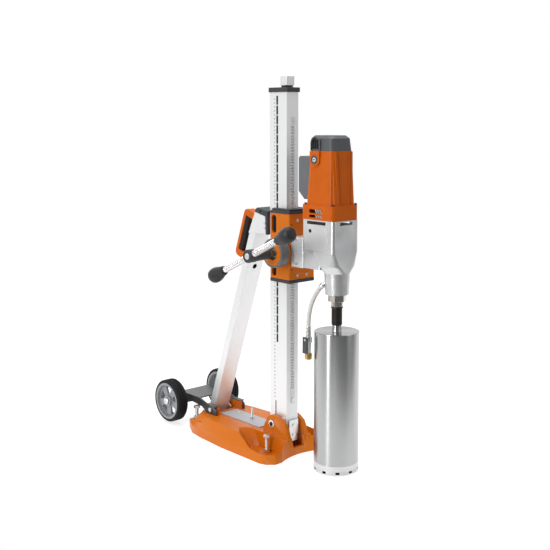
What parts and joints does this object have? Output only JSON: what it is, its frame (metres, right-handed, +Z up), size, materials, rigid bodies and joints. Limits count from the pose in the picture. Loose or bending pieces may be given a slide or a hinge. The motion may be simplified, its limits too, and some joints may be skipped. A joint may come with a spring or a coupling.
{
  "type": "core drill rig",
  "caption": "Core drill rig: a wheeled tilting stand with a rack-fed carriage, crank, water-fed drill motor and tubular core bit.",
  "frame": {"origin": "on the base's underside, straight below the column's axis", "axes": "+Z up along the column, -Y to the drill side, +Y to the wheels, -X to the crank side"},
  "size_m": [0.376, 0.8846, 1.2423],
  "materials": {
    "orange_paint": "orange powder coat on cast aluminium",
    "orange_plastic": "satin orange moulded plastic",
    "dark_plastic": "dark grey textured plastic",
    "feed_grey": "dark grey coated casting",
    "black_steel": "black powder coat",
    "zinc_steel": "zinc-plated steel",
    "dark_steel": "blackened steel",
    "anodised": "pale anodised extrusion",
    "rack_steel": "machined steel",
    "cast_silver": "blasted silver casting",
    "bit_steel": "brushed steel tube",
    "segment": "sintered segments",
    "scale_black": "printed scale",
    "tyre": "black rubber",
    "rim_plastic": "light grey plastic",
    "grip_rubber": "black soft grip",
    "rod_steel": "bright ribbed steel",
    "bush_bronze": "bronze bush",
    "core_steel": "laminated steel and copper",
    "hose_plastic": "milky hose",
    "brass": "brass and plated fittings"
  },
  "bodies": {
    "base": {"base_casting": "orange_paint", "cover_plate": "zinc_steel", "anchor_stud": "zinc_steel", "pivot_pin": "zinc_steel", "lock_nuts": "zinc_steel", "wheel_bracket": "black_steel", "bracket_bolts": "zinc_steel", "axle": "zinc_steel", "strut_foot_bracket": "black_steel"},
    "wheel_left": {"rim_left": "rim_plastic", "tyre_left": "tyre"},
    "wheel_right": {"rim_right": "rim_plastic", "tyre_right": "tyre"},
    "screw_fl": {"levelling_screw_fl": "zinc_steel"},
    "screw_fr": {"levelling_screw_fr": "zinc_steel"},
    "screw_rl": {"levelling_screw_rl": "zinc_steel"},
    "screw_rr": {"levelling_screw_rr": "zinc_steel"},
    "column": {"column": "anodised", "rack": "rack_steel", "column_screws": "zinc_steel", "depth_scale": "scale_black", "column_cap": "dark_plastic", "jack_nut": "dark_steel", "column_foot": "zinc_steel"},
    "jack": {"jack_screw": "zinc_steel"},
    "strut": {"strut_tube": "anodised", "handle_frame": "orange_plastic", "handle_grip": "grip_rubber"},
    "strut_head": {"head_cheeks": "anodised", "strut_head": "dark_plastic", "head_screws": "zinc_steel"},
    "carriage": {"carriage_body": "orange_paint", "carriage_top_plate": "dark_plastic", "carriage_bottom_plate": "dark_plastic", "carriage_screws": "zinc_steel", "glide_pads": "grip_rubber", "feed_housing": "feed_grey", "face_ring": "orange_paint", "feed_bushes": "bush_bronze", "mounting_block": "cast_silver", "gearbox_housing": "cast_silver", "motor_flange": "orange_plastic", "motor_housing": "orange_plastic", "motor_cap": "dark_plastic", "motor_core": "core_steel", "switch_box": "dark_plastic", "water_hose": "hose_plastic", "valve_body": "brass"},
    "crank": {"pinion_shaft": "rack_steel", "crank_hub": "dark_plastic", "crank_rods": "rod_steel", "crank_knobs": "dark_plastic"},
    "armature": {"armature": "core_steel"},
    "spindle": {"spindle": "rack_steel", "spindle_nut": "rack_steel", "bit_sleeve": "black_steel", "core_bit": "bit_steel", "crown_segments": "segment"},
    "power_switch": {"power_switch": "grip_rubber"},
    "valve_lever": {"valve_lever": "black_steel"}
  },
  "joints": [
    {"name": "wheel_left_turn", "type": "hinge", "parent": "base", "child": "wheel_left", "pos_m": [-0.119, 0.488, 0.083], "axis": [1, 0, 0], "continuous": true},
    {"name": "wheel_right_turn", "type": "hinge", "parent": "base", "child": "wheel_right", "pos_m": [0.119, 0.488, 0.083], "axis": [1, 0, 0], "continuous": true},
    {"name": "column_tilt", "type": "hinge", "parent": "base", "child": "column", "pos_m": [0, 0.012, 0.093], "axis": [-1, 0, 0], "range_deg": [0, 30]},
    {"name": "strut_swing", "type": "hinge", "parent": "base", "child": "strut", "pos_m": [0, 0.358, 0.062], "axis": [-1, 0, 0], "range_deg": [0, 34]},
    {"name": "head_slide", "type": "slide", "parent": "column", "child": "strut_head", "axis": [0, 0, 1], "range_m": [0, 0.2]},
    {"name": "carriage_slide", "type": "slide", "parent": "column", "child": "carriage", "axis": [0, 0, 1], "range_m": [-0.44, 0.36]},
    {"name": "crank_turn", "type": "hinge", "parent": "carriage", "child": "crank", "pos_m": [-0.15, -0.061, 0.684], "axis": [1, 0, 0], "continuous": true},
    {"name": "spindle_turn", "type": "hinge", "parent": "carriage", "child": "spindle", "pos_m": [0, -0.248, 0.6], "axis": [0, 0, 1], "continuous": true},
    {"name": "armature_turn", "type": "hinge", "parent": "carriage", "child": "armature", "pos_m": [0, -0.216, 0.9], "axis": [0, 0, 1], "continuous": true},
    {"name": "switch_rock", "type": "slide", "parent": "carriage", "child": "power_switch", "axis": [-1, 0, 0], "range_m": [0, 0.002]},
    {"name": "valve_turn", "type": "hinge", "parent": "carriage", "child": "valve_lever", "pos_m": [-0.08031, -0.18864, 0.421], "axis": [1, 0, 0], "range_deg": [0, 90]},
    {"name": "jack_travel", "type": "slide", "parent": "column", "child": "jack", "axis": [0, 0, 1], "range_m": [0, 0.06]},
    {"name": "screw_fl_travel", "type": "slide", "parent": "base", "child": "screw_fl", "axis": [0, 0, -1], "range_m": [-0.03, 0.02]},
    {"name": "screw_fr_travel", "type": "slide", "parent": "base", "child": "screw_fr", "axis": [0, 0, -1], "range_m": [-0.03, 0.02]},
    {"name": "screw_rl_travel", "type": "slide", "parent": "base", "child": "screw_rl", "axis": [0, 0, -1], "range_m": [-0.012, 0.02]},
    {"name": "screw_rr_travel", "type": "slide", "parent": "base", "child": "screw_rr", "axis": [0, 0, -1], "range_m": [-0.012, 0.02]}
  ],
  "couplings": [
    {"joint": "strut_swing", "follows": "column_tilt", "ratio": 1.06},
    {"joint": "head_slide", "follows": "column_tilt", "m_per_rad": 0.356},
    {"joint": "crank_turn", "follows": "carriage_slide", "rad_per_m": -55.556},
    {"joint": "armature_turn", "follows": "spindle_turn", "ratio": -4.3333}
  ]
}
